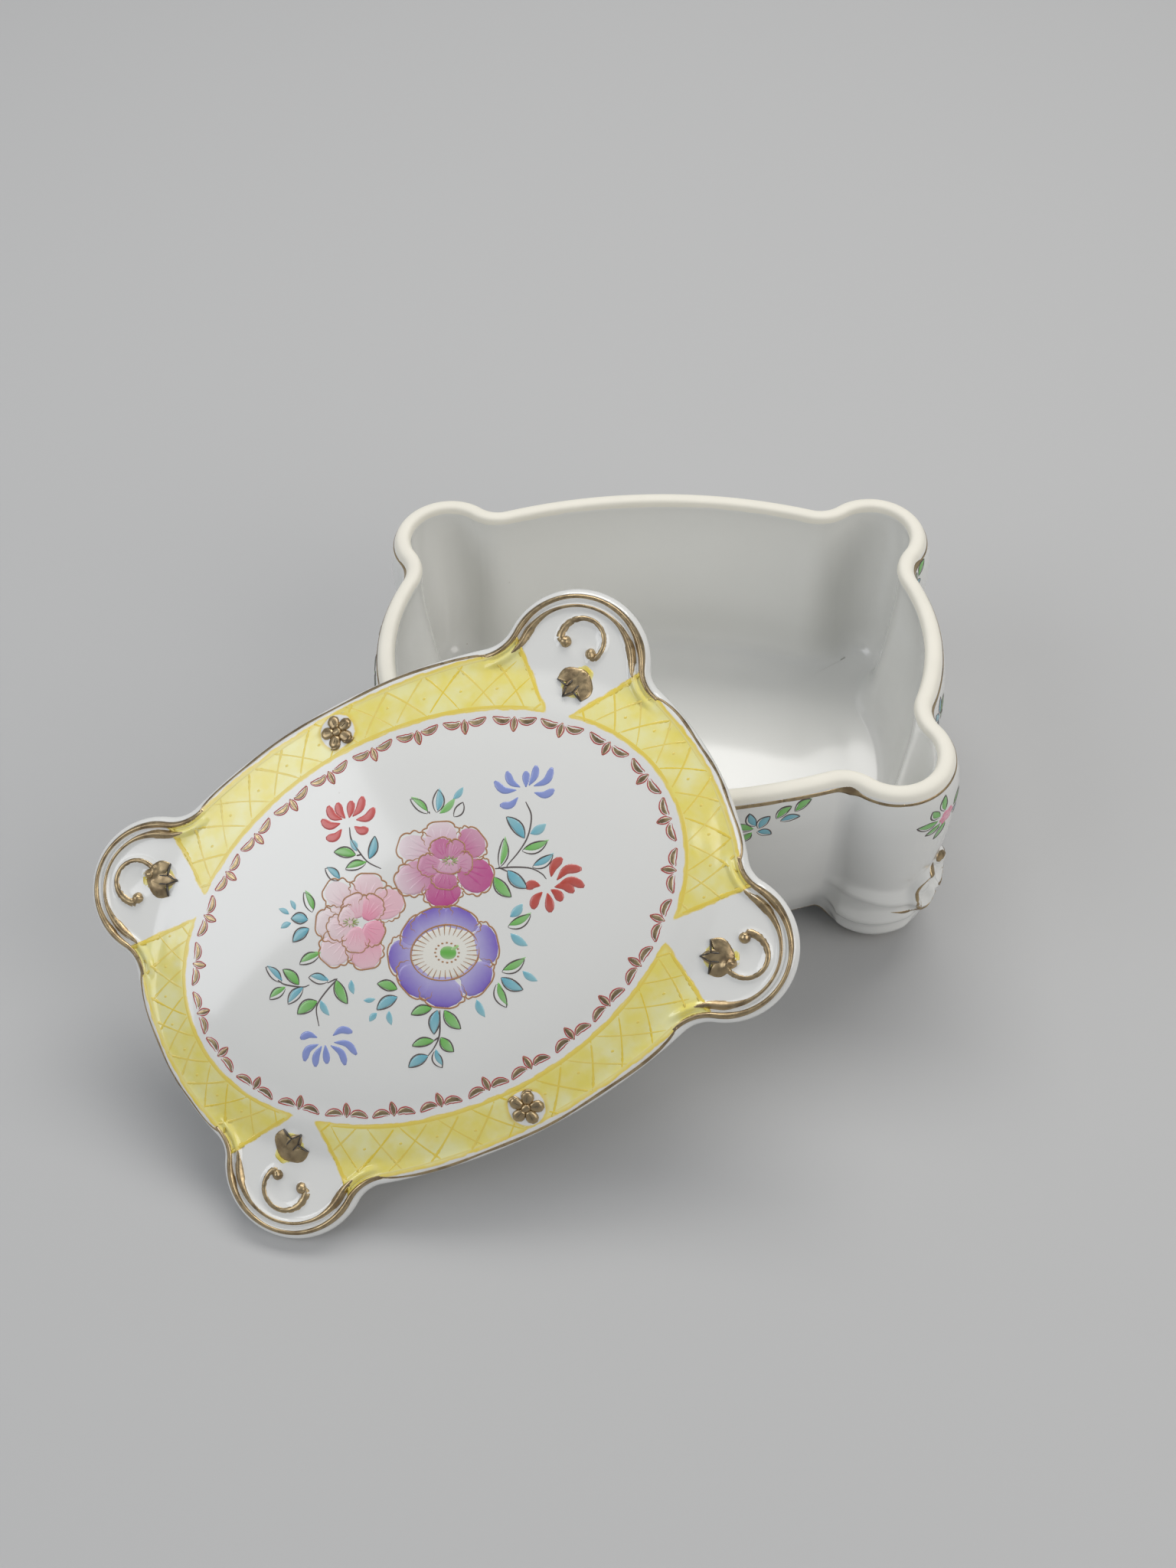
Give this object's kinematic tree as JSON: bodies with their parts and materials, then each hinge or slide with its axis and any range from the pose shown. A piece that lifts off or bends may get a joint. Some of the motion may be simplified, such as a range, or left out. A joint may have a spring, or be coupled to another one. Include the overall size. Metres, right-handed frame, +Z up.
{
  "type": "porcelain trinket box",
  "caption": "Lobed porcelain trinket box on four scroll feet, with its domed lid lifted off and leaning against the front rim.",
  "frame": {"origin": "middle of the footprint of the box and its leaning lid, on the plane that the feet stand on", "axes": "+X along the long side of the box, +Y from its front to its back, +Z up; the lid leans on the front, -Y, side"},
  "size_m": [0.1552, 0.1406, 0.0727],
  "materials": {
    "body_glaze": "glossy white glaze, matt cream rim, gilt lines",
    "lid_glaze": "glossy white glaze with painted enamels and gilding"
  },
  "bodies": {
    "box": {"box_body": "body_glaze"},
    "cover": {"lid": "lid_glaze"}
  },
  "joints": [
    {"name": "lid_lift", "type": "slide", "parent": "box", "child": "cover", "axis": [0, 0, 1], "range_m": [0, 0.08]}
  ]
}
